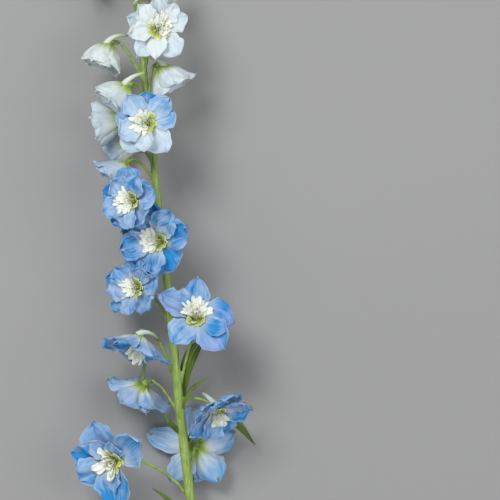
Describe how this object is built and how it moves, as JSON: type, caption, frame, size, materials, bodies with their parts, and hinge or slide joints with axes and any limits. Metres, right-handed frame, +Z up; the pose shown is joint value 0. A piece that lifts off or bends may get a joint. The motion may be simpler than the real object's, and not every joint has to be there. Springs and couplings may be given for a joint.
{
  "type": "cut delphinium flower spike",
  "caption": "Cut delphinium spike lying down: pale blue and white spurred flowers with cream eyes round a green stalk, closed buds at the tip.",
  "frame": {"origin": "middle of the plant's footprint, on the surface that it lies on", "axes": "+Y along the stalk from the cut end towards the bud tip, +Z up from the surface, +X to the right as the spike is seen from above with its tip away from the viewer"},
  "size_m": [0.1328, 0.662, 0.0847],
  "materials": {
    "stalk": "smooth fresh green stalk with fine ribs and a faint sheen",
    "leaf": "soft olive green leaf with a paler midrib",
    "sepal_blue": "thin translucent sky-blue sepal with fine veins, a lavender flush and a paler foot",
    "sepal_white": "thin translucent white sepal with a pale blue tint and green veins at its foot",
    "petal_cream": "crinkled cream petal tuft with a yellow-green throat",
    "bud": "matt greenish-white bud with green seams"
  },
  "bodies": {
    "root": {"bract_left": "leaf", "bract_right": "leaf", "bud_01": "bud", "bud_02": "bud", "bud_03": "bud", "bud_04": "bud", "bud_05": "bud", "bud_06": "bud", "bud_07": "bud", "bud_08": "bud", "bud_09": "bud", "bud_10": "bud", "bud_11": "bud", "bud_12": "bud", "flower_01_petals": "petal_cream", "flower_01_sepals": "sepal_blue", "flower_02_petals": "petal_cream", "flower_02_sepals": "sepal_blue", "flower_03_petals": "petal_cream", "flower_03_sepals": "sepal_blue", "flower_04_petals": "petal_cream", "flower_04_sepals": "sepal_blue", "flower_05_petals": "petal_cream", "flower_05_sepals": "sepal_blue", "flower_06_petals": "petal_cream", "flower_06_sepals": "sepal_blue", "flower_07_petals": "petal_cream", "flower_07_sepals": "sepal_blue", "flower_08_petals": "petal_cream", "flower_08_sepals": "sepal_blue", "flower_09_petals": "petal_cream", "flower_09_sepals": "sepal_blue", "flower_10_petals": "petal_cream", "flower_10_sepals": "sepal_blue", "flower_11_petals": "petal_cream", "flower_11_sepals": "sepal_blue", "flower_12_petals": "petal_cream", "flower_12_sepals": "sepal_blue", "flower_13_petals": "petal_cream", "flower_13_sepals": "sepal_white", "flower_14_petals": "petal_cream", "flower_14_sepals": "sepal_white", "flower_15_petals": "petal_cream", "flower_15_sepals": "sepal_white", "flower_16_petals": "petal_cream", "flower_16_sepals": "sepal_white", "flower_17_petals": "petal_cream", "flower_17_sepals": "sepal_white", "flower_18_petals": "petal_cream", "flower_18_sepals": "sepal_white", "flower_19_petals": "petal_cream", "flower_19_sepals": "sepal_white", "flower_20_petals": "petal_cream", "flower_20_sepals": "sepal_white", "leaf_lower_left": "leaf", "leaf_lower_right": "leaf", "leaf_upper_right": "leaf", "stalk": "stalk", "tip_bud_cluster": "bud"}
  },
  "joints": []
}
